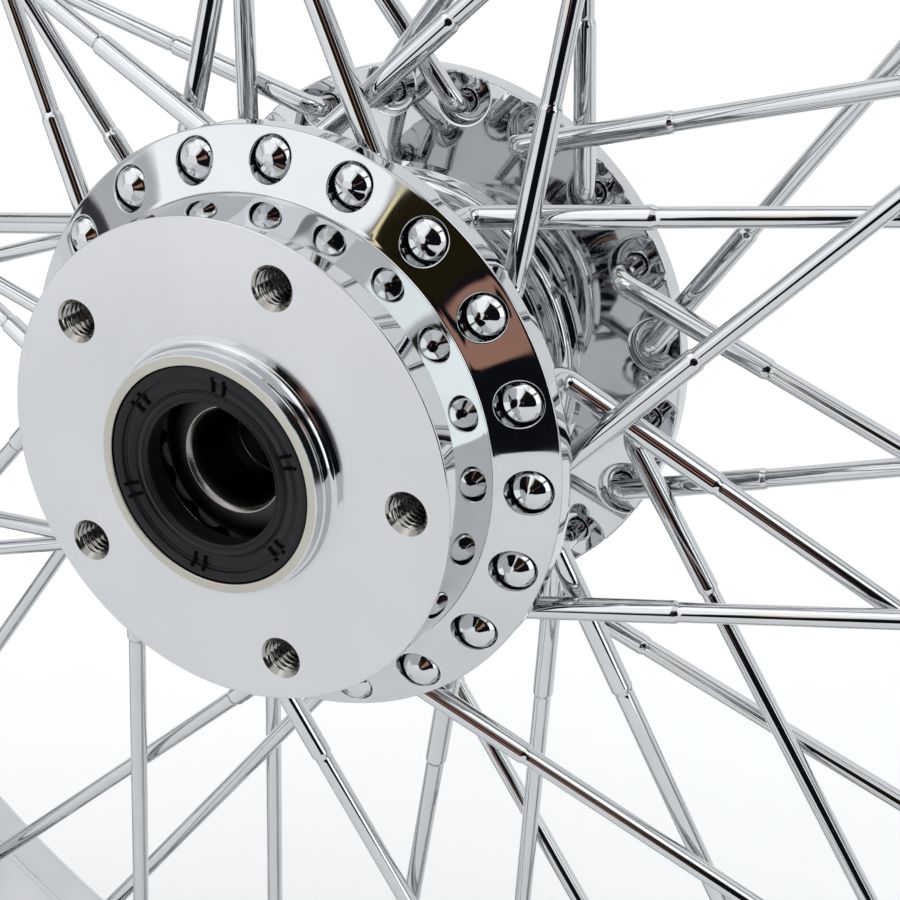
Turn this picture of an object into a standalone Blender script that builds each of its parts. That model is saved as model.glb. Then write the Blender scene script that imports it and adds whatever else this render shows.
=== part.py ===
"""Spoked front wheel for a motorcycle, with its hub bearings.

Metres, +Z up.  The wheel turns about +Y, and the origin is the hub's centre.
A place around the wheel is an angle in the XZ plane, from +X towards +Z.
The near side is -Y and the far side is +Y.
"""
import math

import bmesh
import bpy
from mathutils import Matrix, Quaternion, Vector

for scene_object in list(bpy.data.objects):
    bpy.data.objects.remove(scene_object, do_unlink=True)

MM = 0.001
INCH = 25.4
GAP = 0.3                      # air left between pieces that touch
NEAR, FAR = -1, 1

# Spokes and lacing
SPOKES_PER_FLANGE = 20
FLANGE_PITCH = 360.0 / SPOKES_PER_FLANGE
FIRST_NEAR_HOLE = 16.8         # degrees
FIRST_FAR_HOLE = FIRST_NEAR_HOLE + FLANGE_PITCH / 2
LACING_SWEEP = 2 * FLANGE_PITCH  # hub hole to rim hole, forwards or backwards
SPOKE_CIRCLE_R = 57.15
SPOKE_THICK_R = 2.4            # butted end at the hub
SPOKE_THIN_R = 2.05
SWAGE_AT = 37.4                # from the elbow's corner
SWAGE_LENGTH = 1.8
ELBOW_R = 4.0
HEAD_R = 4.2
HEAD_HEIGHT = 3.4
HUB_LEVEL = {"outer": 23.8, "inner": 17.8}   # spoke's height off the hub's mid-plane
RIM_LEVEL = {"outer": 7.5, "inner": 3.0}     # nipple seat's height off the rim's mid-plane
SPOKE_SIDES = 6
NIPPLE_R = 3.1
NIPPLE_END_R = 4.6
NIPPLE_REACH = 15.5            # from the seat towards the hub
NIPPLE_END_LENGTH = 3.0
NIPPLE_HOLE_R = 3.55

# Rim: 19 x 2.50 in, drop centre
RIM_OFFSET = 4.5               # rim's mid-plane, off the hub's towards the far side
BEAD_SEAT_R = 19 * INCH / 2
RIM_INSIDE_HALF = 2.5 * INCH / 2
RIM_WALL = 2.4
LIP_HEIGHT = 14.0
WELL_R = 228.5                 # tyre side of the drop centre
WELL_HALF = 11.5
RIM_SEGMENTS = 60
VALVE_HOLE_R = 4.25
VALVE_ANGLE = FIRST_NEAR_HOLE + 13 * FLANGE_PITCH + FLANGE_PITCH / 4

# Hub
HUB_SEGMENTS = 40
BARREL_R = 30.0
BEAD_R = 40.5
FLANGE_ROOT_R = 43.5
FLANGE_R = 63.1
FLANGE_ROOT_AT = 25.0
LAND_IN, LAND_OUT = 28.5, 33.5
DRUM_R = 50.6
CONE_TOP_AT = 38.4
DISC_FACE_AT = 55.55
PILOT_R = 25.4
BOSS_R = 24.7
BOSS_FACE_AT = 60.6
HEAD_SEAT_R = 4.8
HEAD_SEAT_AT = 33.0
SPOKE_HOLE_R = 2.95
DISC_BOLTS = 5
BOLT_CIRCLE_R = 3.25 * INCH / 2
FIRST_BOLT = 70.9
TAPPED_R = 3.45                # minor diameter of 5/16-18
TAPPED_MOUTH_R = 4.5
TAPPED_DEPTH = 16.0

# Bearings: 3/4 in tapered roller, with a lip seal outside each
CUP_R = 45.24 / 2
CUP_SEAT_AT = 35.6
CUP_WIDTH = 12.05
CUP_RACE_IN, CUP_RACE_OUT = 18.9, 20.9
CONE_BORE_R = 19.05 / 2
CONE_BACK_AT = 51.3
CONE_WIDTH = 16.6
CONE_RIB_R = 15.6
CONE_RACE_IN, CONE_RACE_OUT = 12.9, 14.4
ROLLERS = 15
ROLLER_FROM, ROLLER_TO = 37.4, 48.2
CAGE_HALF = 1.1
SLEEVE_R, SLEEVE_BORE_R = 12.7, 9.8
SHOULDER_R = 18.5
SEAL_FACE_AT = 60.3
SEAL_WIDTH = 6.7
SEAL_LIP_R = 14.9
BEARING_SEGMENTS = 24


def polar(radius, degrees, y):
    """Point at a radius and an angle around the wheel, y along the axle, in mm."""
    turn = math.radians(degrees)
    return Vector((radius * math.cos(turn), y, radius * math.sin(turn)))


def material(name, colour, roughness, metallic):
    mat = bpy.data.materials.new(name)
    mat.use_nodes = True
    shader = mat.node_tree.nodes["Principled BSDF"]
    shader.inputs["Base Color"].default_value = (*colour, 1.0)
    shader.inputs["Roughness"].default_value = roughness
    shader.inputs["Metallic"].default_value = metallic
    return mat


def mesh_from(bm, name, mat):
    """Turn a bmesh in mm into a smooth-shaded mesh in metres."""
    bmesh.ops.scale(bm, vec=(MM, MM, MM), verts=bm.verts)
    bmesh.ops.recalc_face_normals(bm, faces=bm.faces)
    mesh = bpy.data.meshes.new(name)
    bm.to_mesh(mesh)
    bm.free()
    mesh.shade_smooth()
    mesh.set_sharp_from_angle(angle=math.radians(35))
    if mat:
        mesh.materials.append(mat)
    return mesh


def place(name, mesh, parent, turn=0.0):
    """Make an object of a mesh, turned about the axle by an angle around the wheel."""
    piece = bpy.data.objects.new(name, mesh)
    bpy.context.scene.collection.objects.link(piece)
    piece.parent = parent
    piece.rotation_euler = (0.0, -math.radians(turn), 0.0)
    return piece


def empty(name, parent=None):
    marker = bpy.data.objects.new(name, None)
    bpy.context.scene.collection.objects.link(marker)
    marker.parent = parent
    return marker


def turned(outline, segments, phase=0.0):
    """Closed outline of (radius, y) points, turned about the axle."""
    bm = bmesh.new()
    verts = [bm.verts.new(polar(r, phase, y)) for r, y in outline]
    edges = [bm.edges.new((verts[i], verts[(i + 1) % len(verts)])) for i in range(len(verts))]
    bmesh.ops.spin(bm, geom=verts + edges, cent=(0, 0, 0), axis=(0, -1, 0), dvec=(0, 0, 0),
                   angle=2 * math.pi, steps=segments, use_merge=True)
    return bm


def mirrored(half):
    """Close a half outline, listed from the middle outwards, with its mirror image."""
    return [(r, -y) for r, y in reversed(half)] + half


def on_side(outline, side):
    return [(r, side * y) for r, y in outline]


def loft(bm, stations, sides, first_normal):
    """Tube through (centre, direction, radius) stations; a zero first radius is a point."""
    rings = []
    normal = first_normal.normalized()
    last = stations[0][1].normalized()
    for centre, direction, radius in stations:
        direction = direction.normalized()
        normal = last.rotation_difference(direction) @ normal
        last = direction
        if radius == 0.0:
            rings.append([bm.verts.new(centre)])
            continue
        ring = []
        for i in range(sides):
            spoke = Quaternion(direction, 2 * math.pi * i / sides) @ normal
            ring.append(bm.verts.new(centre + radius * spoke))
        rings.append(ring)
    for low, high in zip(rings, rings[1:]):
        for i in range(sides):
            j = (i + 1) % sides
            if len(low) == 1:
                bm.faces.new((low[0], high[j], high[i]))
            else:
                bm.faces.new((low[i], low[j], high[j], high[i]))
    if len(rings[0]) > 1:
        bm.faces.new(list(reversed(rings[0])))
    bm.faces.new(rings[-1])


def cut(piece, cutter):
    cutter.hide_render = True
    cutter.display_type = "WIRE"
    boolean = piece.modifiers.new(cutter.name, "BOOLEAN")
    boolean.operation = "DIFFERENCE"
    boolean.solver = "EXACT"
    boolean.object = cutter


# ---- Spokes ---------------------------------------------------------------

def spoke_line(side, kind):
    """Elbow corner and rim seat of the spoke from the flange hole at angle 0, in mm.

    Outer spokes lie against the flange and sweep forwards; inner spokes cross
    behind them and sweep backwards.
    """
    sweep = LACING_SWEEP if kind == "outer" else -LACING_SWEEP
    corner = polar(SPOKE_CIRCLE_R, 0.0, side * HUB_LEVEL[kind])
    seat = polar(WELL_R, sweep, RIM_OFFSET + side * RIM_LEVEL[kind])
    return corner, seat


def spoke_mesh(side, kind, mat):
    """One spoke with its head, elbow, swage and the nipple screwed on its end."""
    corner, seat = spoke_line(side, kind)
    inward = Vector((0, -side, 0))
    along = (seat - corner).normalized()
    bend = inward.angle(along)
    setback = ELBOW_R * math.tan(bend / 2)
    bend_axis = inward.cross(along).normalized()
    centre = corner - inward * setback + bend_axis.cross(inward) * ELBOW_R
    head = Vector((SPOKE_CIRCLE_R, side * (HEAD_SEAT_AT + GAP), 0))
    head_top = head - inward * HEAD_HEIGHT

    stations = [
        (head_top, inward, 0.0),
        (head_top + inward * HEAD_HEIGHT * 0.3, inward, HEAD_R * 0.75),
        (head, inward, HEAD_R),
        (head, inward, SPOKE_THICK_R),
    ]
    for share in (0.0, 0.5, 1.0):
        swing = Quaternion(bend_axis, bend * share)
        arm = swing @ (-bend_axis.cross(inward) * ELBOW_R)
        stations.append((centre + arm, swing @ inward, SPOKE_THICK_R))
    swage = corner + along * SWAGE_AT
    stations.append((swage, along, SPOKE_THICK_R))
    stations.append((swage + along * SWAGE_LENGTH, along, SPOKE_THIN_R))
    stations.append((seat - along * NIPPLE_REACH, along, SPOKE_THIN_R))
    stations.append((seat - along * NIPPLE_REACH, along, NIPPLE_R))
    stations.append((seat + along * GAP, along, NIPPLE_R))
    stations.append((seat + along * (GAP + NIPPLE_END_LENGTH), along, NIPPLE_END_R))

    bm = bmesh.new()
    loft(bm, stations, SPOKE_SIDES, Vector((1, 0, 0)))
    return mesh_from(bm, f"spoke_{kind}_{'near' if side < 0 else 'far'}", mat)


def spoke_places():
    """Every spoke's number, side, kind and flange-hole angle, in order around each flange."""
    number = 1
    for side, first in ((NEAR, FIRST_NEAR_HOLE), (FAR, FIRST_FAR_HOLE)):
        for i in range(SPOKES_PER_FLANGE):
            kind = "inner" if i % 2 == 0 else "outer"
            yield number, side, kind, first + i * FLANGE_PITCH
            number += 1


def make_spokes(parent, mat):
    meshes = {(side, kind): spoke_mesh(side, kind, mat)
              for side in (NEAR, FAR) for kind in ("outer", "inner")}
    for number, side, kind, angle in spoke_places():
        place(f"spoke_{number:02d}", meshes[side, kind], parent, angle)


# ---- Rim ------------------------------------------------------------------

def rim_outline():
    """Cross-section of the drop-centre rim about its own mid-plane, in mm."""
    inside = RIM_INSIDE_HALF
    lip_r = BEAD_SEAT_R + LIP_HEIGHT
    tyre_side = [
        (WELL_R, WELL_HALF),
        (BEAD_SEAT_R - 1.1, inside - 12.5),
        (BEAD_SEAT_R, inside - 0.6),
        (lip_r - 2.2, inside + 0.6),
        (lip_r, inside + 3.4),
    ]
    hub_side = [
        (lip_r - 2.4, inside + 5.8),
        (lip_r - 5.0, inside + 2.8),
        (BEAD_SEAT_R - 1.2, inside + 2.0),
        (BEAD_SEAT_R - 1.1 - RIM_WALL, inside - 11.6),
        (WELL_R - RIM_WALL, WELL_HALF - 0.6),
    ]
    far_half = tyre_side + hub_side
    near_half = [(r, -y) for r, y in reversed(far_half)]
    return [(r, y + RIM_OFFSET) for r, y in far_half + near_half]


def nipple_holes():
    bm = bmesh.new()
    for _, side, kind, angle in spoke_places():
        corner, seat = spoke_line(side, kind)
        along = (seat - corner).normalized()
        hole = bmesh.new()
        ends = [(seat - along * 9, along, NIPPLE_HOLE_R), (seat + along * 6, along, NIPPLE_HOLE_R)]
        # the same starting side as the nipple, so their flats stay parallel
        inward = Vector((0, -side, 0))
        first = inward.rotation_difference(along) @ Vector((1, 0, 0))
        loft(hole, ends, SPOKE_SIDES, first)
        bmesh.ops.transform(hole, matrix=Matrix.Rotation(-math.radians(angle), 4, "Y"), verts=hole.verts)
        add_to(bm, hole)
    valve = bmesh.new()
    out = polar(1.0, VALVE_ANGLE, 0.0)
    foot = polar(WELL_R - 12, VALVE_ANGLE, RIM_OFFSET)
    loft(valve, [(foot, out, VALVE_HOLE_R), (foot + out * 20, out, VALVE_HOLE_R)], 12, Vector((0, 1, 0)))
    add_to(bm, valve)
    return mesh_from(bm, "nipple_holes", None)


def add_to(bm, other):
    """Copy a bmesh's faces into another and free it."""
    copies = {vert: bm.verts.new(vert.co) for vert in other.verts}
    for face in other.faces:
        bm.faces.new([copies[vert] for vert in face.verts])
    other.free()


def make_rim(parent, mat):
    rim = place("rim", mesh_from(turned(rim_outline(), RIM_SEGMENTS), "rim", mat), parent)
    cut(rim, place("nipple_holes", nipple_holes(), parent))


# ---- Hub ------------------------------------------------------------------

def hub_outline():
    outside = [
        (BARREL_R, 10.0),
        (BARREL_R + 4.0, 16.0),
        (BEAD_R - 1.5, 18.2),
        (BEAD_R, 21.5),
        (FLANGE_ROOT_R, FLANGE_ROOT_AT),
        (FLANGE_R, LAND_IN),
        (FLANGE_R, LAND_OUT),
        (DRUM_R + 0.2, CONE_TOP_AT),
        (DRUM_R - 0.2, DISC_FACE_AT),
        (PILOT_R, DISC_FACE_AT),
        (PILOT_R, DISC_FACE_AT + 2.2),
        (BOSS_R, DISC_FACE_AT + 2.5),
        (BOSS_R, BOSS_FACE_AT - 0.3),
        (BOSS_R - 0.3, BOSS_FACE_AT),
        (CUP_R + GAP, BOSS_FACE_AT),
    ]
    inside = [
        (CUP_R + GAP, CUP_SEAT_AT),
        (SHOULDER_R, CUP_SEAT_AT),
    ]
    return mirrored(outside + inside)


def flange_hole_cutter():
    """A stepped cutter for each spoke hole, with the head's seat counterbored outside."""
    bm = bmesh.new()
    for _, side, _, angle in spoke_places():
        levels = [(20.0, SPOKE_HOLE_R), (HEAD_SEAT_AT, SPOKE_HOLE_R),
                  (HEAD_SEAT_AT, HEAD_SEAT_R), (45.0, HEAD_SEAT_R)]
        out = Vector((0, side, 0))
        stations = [(polar(SPOKE_CIRCLE_R, angle, side * y), out, r) for y, r in levels]
        loft(bm, stations, SPOKE_SIDES, polar(1.0, angle, 0.0))
    return mesh_from(bm, "flange_holes", None)


def tapped_hole_cutter():
    """Blind holes with a chamfered mouth, for the brake disc's bolts."""
    bm = bmesh.new()
    chamfer = TAPPED_MOUTH_R - TAPPED_R
    past = 0.5
    for side in (NEAR, FAR):
        out = Vector((0, side, 0))
        levels = [(DISC_FACE_AT - TAPPED_DEPTH, TAPPED_R), (DISC_FACE_AT - chamfer, TAPPED_R),
                  (DISC_FACE_AT + past, TAPPED_MOUTH_R + past)]
        for i in range(DISC_BOLTS):
            angle = FIRST_BOLT + i * 360.0 / DISC_BOLTS
            stations = [(polar(BOLT_CIRCLE_R, angle, side * y), out, r) for y, r in levels]
            loft(bm, stations, 8, polar(1.0, angle, 0.0))
    return mesh_from(bm, "tapped_holes", None)


def make_hub(parent, mat):
    phase = FIRST_NEAR_HOLE + 360.0 / HUB_SEGMENTS / 2
    hub = place("hub", mesh_from(turned(hub_outline(), HUB_SEGMENTS, phase), "hub", mat), parent)
    cut(hub, place("flange_holes", flange_hole_cutter(), parent))
    cut(hub, place("tapped_holes", tapped_hole_cutter(), parent))


# ---- Bearings and seals -----------------------------------------------------

def seal_outline():
    back = SEAL_FACE_AT - SEAL_WIDTH
    return [
        (CUP_R, back), (CUP_R, SEAL_FACE_AT),
        (SEAL_LIP_R + 2.4, SEAL_FACE_AT), (SEAL_LIP_R, SEAL_FACE_AT - 0.9),
        (SEAL_LIP_R - 0.3, SEAL_FACE_AT - 2.4), (SEAL_LIP_R + 2.2, SEAL_FACE_AT - 4.2),
        (SEAL_LIP_R + 2.6, back),
    ]


def cup_outline():
    seat = CUP_SEAT_AT + GAP
    return [(CUP_R, seat), (CUP_R, seat + CUP_WIDTH),
            (CUP_RACE_OUT, seat + CUP_WIDTH), (CUP_RACE_IN, seat)]


def cone_outline():
    front = CONE_BACK_AT - CONE_WIDTH
    return [(CONE_BORE_R, front), (CONE_BORE_R, CONE_BACK_AT), (CONE_RIB_R, CONE_BACK_AT),
            (CONE_RIB_R, ROLLER_TO + GAP), (CONE_RACE_OUT, ROLLER_TO + GAP), (CONE_RACE_IN, front)]


def race_radius(y, y_in, y_out, r_in, r_out):
    return r_in + (r_out - r_in) * (y - y_in) / (y_out - y_in)


def rollers_mesh(side, mat):
    """The rollers and their cage as one ring, ridged where each roller stands out."""
    cup_seat = CUP_SEAT_AT + GAP
    cone_front = CONE_BACK_AT - CONE_WIDTH
    points = 2 * ROLLERS
    rows = []
    bm = bmesh.new()
    for y in (ROLLER_FROM, ROLLER_TO):
        outer_race = race_radius(y, cup_seat, cup_seat + CUP_WIDTH, CUP_RACE_IN, CUP_RACE_OUT)
        inner_race = race_radius(y, cone_front, ROLLER_TO, CONE_RACE_IN, CONE_RACE_OUT)
        middle = (outer_race + inner_race) / 2
        outer, inner = [], []
        for i in range(points):
            angle = 360.0 * i / points
            on_roller = i % 2 == 0
            outer_r = outer_race - GAP if on_roller else middle + CAGE_HALF
            inner_r = inner_race + GAP if on_roller else middle - CAGE_HALF
            outer.append(bm.verts.new(polar(outer_r, angle, side * y)))
            inner.append(bm.verts.new(polar(inner_r, angle, side * y)))
        rows.append((outer, inner))
    (outer_a, inner_a), (outer_b, inner_b) = rows
    for i in range(points):
        j = (i + 1) % points
        bm.faces.new((outer_a[i], outer_a[j], outer_b[j], outer_b[i]))
        bm.faces.new((inner_a[j], inner_a[i], inner_b[i], inner_b[j]))
        bm.faces.new((outer_a[j], outer_a[i], inner_a[i], inner_a[j]))
        bm.faces.new((outer_b[i], outer_b[j], inner_b[j], inner_b[i]))
    return mesh_from(bm, "rollers", mat)


def make_bearing(side, axle, wheel, cage, materials):
    end = "near" if side == NEAR else "far"
    bearing_parts = (
        ("seal", seal_outline(), wheel, "seal_rubber"),
        ("bearing_cup", cup_outline(), wheel, "bearing_steel"),
        ("bearing_cone", cone_outline(), axle, "bearing_steel"),
    )
    for word, outline, parent, finish in bearing_parts:
        name = f"{word}_{end}"
        bm = turned(on_side(outline, side), BEARING_SEGMENTS)
        place(name, mesh_from(bm, name, materials[finish]), parent)
    place(f"rollers_{end}", rollers_mesh(side, materials["roller_steel"]), cage)


def make_spacer(parent, mat):
    half = CONE_BACK_AT - CONE_WIDTH - GAP
    outline = [(SLEEVE_R, -half), (SLEEVE_R, half), (SLEEVE_BORE_R, half), (SLEEVE_BORE_R, -half)]
    place("spacer_sleeve", mesh_from(turned(outline, 24), "spacer_sleeve", mat), parent)


def main():
    materials = {
        "hub_chrome": material("hub_chrome", (0.80, 0.81, 0.82), 0.06, 1.0),
        "rim_chrome": material("rim_chrome", (0.78, 0.79, 0.80), 0.08, 1.0),
        "spoke_chrome": material("spoke_chrome", (0.76, 0.77, 0.78), 0.10, 1.0),
        "seal_rubber": material("seal_rubber", (0.02, 0.02, 0.022), 0.55, 0.0),
        "bearing_steel": material("bearing_steel", (0.42, 0.41, 0.40), 0.25, 1.0),
        "roller_steel": material("roller_steel", (0.55, 0.55, 0.54), 0.20, 1.0),
        "sleeve_steel": material("sleeve_steel", (0.35, 0.34, 0.33), 0.45, 1.0),
    }
    axle = empty("axle_axis")
    wheel = empty("wheel_axis", axle)
    make_rim(wheel, materials["rim_chrome"])
    make_hub(wheel, materials["hub_chrome"])
    make_spokes(wheel, materials["spoke_chrome"])
    for side, word in ((NEAR, "near"), (FAR, "far")):
        cage = empty(f"rollers_{word}_axis", axle)
        make_bearing(side, axle, wheel, cage, materials)
    make_spacer(axle, materials["sleeve_steel"])


main()
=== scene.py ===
"""Looks of a spoked motorcycle wheel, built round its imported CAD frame.

Every outline is in millimetres: a radius from the axle, and a distance y along it.
A place around the wheel is an angle in the XZ plane, from +X towards +Z.
The near side is -Y and the far side is +Y.
"""

import math

import bmesh
import bpy
import numpy as np
from mathutils import Matrix, Quaternion, Vector


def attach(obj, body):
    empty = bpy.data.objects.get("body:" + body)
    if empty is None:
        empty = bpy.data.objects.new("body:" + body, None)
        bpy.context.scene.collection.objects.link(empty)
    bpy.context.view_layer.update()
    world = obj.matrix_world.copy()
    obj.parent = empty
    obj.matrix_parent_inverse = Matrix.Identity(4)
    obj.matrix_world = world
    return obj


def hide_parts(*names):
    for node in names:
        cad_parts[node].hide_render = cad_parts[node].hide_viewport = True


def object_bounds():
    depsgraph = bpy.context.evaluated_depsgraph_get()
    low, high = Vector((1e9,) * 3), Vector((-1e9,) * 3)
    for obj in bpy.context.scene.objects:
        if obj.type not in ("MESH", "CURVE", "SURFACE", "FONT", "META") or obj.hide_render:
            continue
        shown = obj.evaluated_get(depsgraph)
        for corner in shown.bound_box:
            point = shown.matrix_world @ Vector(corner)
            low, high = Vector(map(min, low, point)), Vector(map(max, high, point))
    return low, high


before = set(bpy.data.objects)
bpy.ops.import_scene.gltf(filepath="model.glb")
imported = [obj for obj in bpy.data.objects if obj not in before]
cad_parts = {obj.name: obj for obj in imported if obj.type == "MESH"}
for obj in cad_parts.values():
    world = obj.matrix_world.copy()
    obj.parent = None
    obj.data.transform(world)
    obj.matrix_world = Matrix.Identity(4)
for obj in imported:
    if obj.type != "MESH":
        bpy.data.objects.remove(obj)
cad_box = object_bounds()

MM = 0.001
INCH = 25.4
NEAR, FAR = -1, 1
SIDES = ((NEAR, "near"), (FAR, "far"))

# Camera, at the photograph's viewing angle
CAMERA_AZIMUTH, CAMERA_ELEVATION = 27.66, 23.80
CAMERA_AT = (0.1920, -0.3255, 0.1486)
CAMERA_LENS = 73.7

# Lacing
SPOKES_PER_FLANGE = 20
FLANGE_PITCH = 360 / SPOKES_PER_FLANGE
FIRST_HOLE = {NEAR: 16.8, FAR: 16.8 + FLANGE_PITCH / 2}
SWEEP = {"outer": 2 * FLANGE_PITCH, "inner": -2 * FLANGE_PITCH}
SPOKE_CIRCLE_R = 57.15
HUB_LEVEL = {"outer": 23.8, "inner": 17.8}
RIM_LEVEL = {"outer": 7.5, "inner": 3.0}

# Spoke and nipple
THICK_R, THIN_R = 2.4, 2.05
ELBOW_R = 4.0
HEAD_R, HEAD_HEIGHT = 4.2, 3.4
HEAD_SEAT = 33.3
SWAGE_AT = 37.4
NIPPLE_R, NIPPLE_FLAT = 3.1, 2.65
NIPPLE_REACH, NIPPLE_SQUARE = 15.5, 8.0
NIPPLE_BORE_R = 2.25
NIPPLE_HEAD_R = 4.6
NIPPLE_HOLE_R = 3.55

# Rim
RIM_OFFSET = 4.5
BEAD_SEAT_R = 19 * INCH / 2
RIM_INSIDE_HALF = 2.5 * INCH / 2
LIP_R = BEAD_SEAT_R + 14
WELL_R, WELL_HALF = 228.5, 11.5
RIM_WALL = 2.4
VALVE_HOLE_R = 4.25
VALVE_ANGLE = FIRST_HOLE[NEAR] + 13.25 * FLANGE_PITCH

# Hub
AROUND = 20                    # segments between two spoke holes of a flange
SIDE_STEPS = 8                 # segments up each side of a hole's patch
FLANGE_R = 63.1
LAND_IN, LAND_OUT = 28.5, 33.5
DRUM_R, CONE_TOP = 50.6, 38.4
FLANGE_ROOT_R, FLANGE_ROOT = 43.5, 25.0
BARREL_R = 30.0                # at the waist, between the mouldings beside the flanges
FACE_AT, FACE_IN_R, FACE_OUT_R = 55.55, 27.6, 49.95
PILOT_R, PILOT_END, BOSS_R, BOSS_AT = 25.4, 58.2, 24.7, 60.6
BORE_R, SHOULDER_AT, SHOULDER_R = 22.75, 35.5, 18.5
SPOKE_HOLE_R = 2.55
HEAD_HOLE_R, HEAD_FLOOR = 4.55, 33.0
DISH_DEPTH, DISH_REACH = 0.09, 1.7   # the polished face's fall towards each head's hole
DISH_EDGE = 1.2                      # where that fall fades out, before the patch's border
RECESS_R, RECESS_AT_R, RECESS_FLOOR = 6.0, 58.4, 29.4
BOLT_CIRCLE_R, FIRST_BOLT, BOLTS = 3.25 * INCH / 2, 70.9, 5
THREAD_MINOR, THREAD_MAJOR, THREAD_PITCH = 3.45, 3.97, INCH / 18
THREAD_DEPTH = 15.0
THREAD_MOUTH_R = 4.55

# Bearings and seals
CUP_R, CUP_BACK, CUP_WIDTH = 22.62, 35.9, 12.05
CUP_RACE_IN, CUP_RACE_OUT = 18.9, 20.9
CONE_BORE_R, CONE_BACK, CONE_FRONT, CONE_RIB_R = 9.525, 51.3, 34.7, 15.6
CONE_RACE_IN, CONE_RACE_OUT = 12.9, 14.4
ROLLERS, ROLLER_FROM, ROLLER_TO = 15, 37.4, 48.2
SEAL_R, SEAL_AT, SEAL_WIDTH, SEAL_LIP_R = 22.62, 60.3, 6.7, 14.8
SEAL_TICKS, FIRST_TICK, TICK_HALF = 6, 20.0, 0.32
SLEEVE_R, SLEEVE_BORE_R = 12.7, 9.8


# ---- Points and outlines -----------------------------------------------------

def polar(radius, degrees, y):
    turn = math.radians(degrees)
    return Vector((radius * math.cos(turn), y, radius * math.sin(turn)))


def arc(start, corner, end, steps):
    """Arc that is tangent to both legs of a corner, at start and end."""
    start, corner, end = Vector(start), Vector(corner), Vector(end)
    leg = (start - corner).length
    half = ((start - corner).angle(end - corner)) / 2
    middle = ((start - corner).normalized() + (end - corner).normalized()).normalized()
    centre = corner + middle * leg / math.cos(half)
    radius = leg * math.tan(half)
    points = []
    for i in range(steps + 1):
        share = i / steps
        out = (start - centre).normalized().slerp((end - centre).normalized(), share)
        points.append(tuple(centre + out * radius))
    return points


def rounded(corners, closed=False, steps=5):
    """Outline of (radius, y) points through (radius, y, fillet) corners.

    A point just past each fillet keeps the shading of the flat beside it true.
    """
    outline = []
    count = len(corners)
    for i, (r, y, fillet) in enumerate(corners):
        here = Vector((r, y))
        if fillet == 0 or (not closed and i in (0, count - 1)):
            outline.append((r, y))
            continue
        before = Vector(corners[i - 1][:2]) - here
        after = Vector(corners[(i + 1) % count][:2]) - here
        half = before.angle(after) / 2
        leg = min(fillet / math.tan(half), before.length * 0.47, after.length * 0.47)
        hold = 0.35 * leg
        if before.length * 0.5 > leg + hold:
            outline.append(tuple(here + before.normalized() * (leg + hold)))
        outline += arc(here + before.normalized() * leg, here, here + after.normalized() * leg, steps)
        if after.length * 0.5 > leg + hold:
            outline.append(tuple(here + after.normalized() * (leg + hold)))
    return outline


def filled_in(outline, longest):
    """The outline with points added where it is longer than that between two."""
    result = []
    for (r0, y0), (r1, y1) in zip(outline, outline[1:] + outline[:1]):
        steps = max(1, math.ceil(math.hypot(r1 - r0, y1 - y0) / longest))
        result += [(r0 + (r1 - r0) * i / steps, y0 + (y1 - y0) * i / steps) for i in range(steps)]
    return result


class Shell:
    """Gathers rings of points, in mm, into one mesh; rings that meet are merged."""

    def __init__(self):
        self.points = []
        self.faces = []
        self.finishes = []

    def ring(self, points):
        first = len(self.points)
        self.points.extend(points)
        return range(first, len(self.points))

    def bridge(self, rings, finish=0, closed=True):
        """Quads between successive rings, each with as many points."""
        for low, high in zip(rings, rings[1:]):
            count = len(low)
            for i in range(count if closed else count - 1):
                j = (i + 1) % count
                self.faces.append((low[i], low[j], high[j], high[i]))
                self.finishes.append(finish)

    def turn(self, outline, segments, phase=0.0, side=1, finish=0, closed=False):
        """Turn an outline about the axle."""
        angles = [phase + 360 * i / segments for i in range(segments)]
        rings = [self.ring([polar(r, a, side * y) for a in angles]) for r, y in outline]
        if closed:
            rings.append(rings[0])
        self.bridge(rings, finish)

    def cap(self, ring, finish=0):
        self.faces.append(tuple(ring))
        self.finishes.append(finish)

    def piece(self, name, materials, sharp=38.0, fill_levels=(), fill_finish=0):
        """Make the object, closing flat faces at the given y levels."""
        mesh = bpy.data.meshes.new(name)
        mesh.from_pydata([Vector(p) * MM for p in self.points], [], self.faces)
        mesh.polygons.foreach_set("material_index", self.finishes)
        for mat in materials:
            mesh.materials.append(mat)
        bm = bmesh.new()
        bm.from_mesh(mesh)
        bmesh.ops.remove_doubles(bm, verts=bm.verts, dist=0.004 * MM)
        for level in fill_levels:
            edges = [e for e in bm.edges if len(e.link_faces) == 1
                     and all(abs(v.co.y - level * MM) < 1e-6 for v in e.verts)]
            made = bmesh.ops.triangle_fill(bm, use_beauty=True, use_dissolve=False, edges=edges)
            for face in made["geom"]:
                if isinstance(face, bmesh.types.BMFace):
                    face.material_index = fill_finish
        bmesh.ops.recalc_face_normals(bm, faces=bm.faces)
        bm.to_mesh(mesh)
        bm.free()
        mesh.shade_smooth()
        mesh.set_sharp_from_angle(angle=math.radians(sharp))
        made = bpy.data.objects.new(name, mesh)
        bpy.context.scene.collection.objects.link(made)
        return made


def show(piece, body, slot, *nodes):
    """Put a finished piece on its body, in place of the CAD nodes it stands for."""
    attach(piece, body)
    if nodes:
        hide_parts(*nodes)
    return piece


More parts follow.
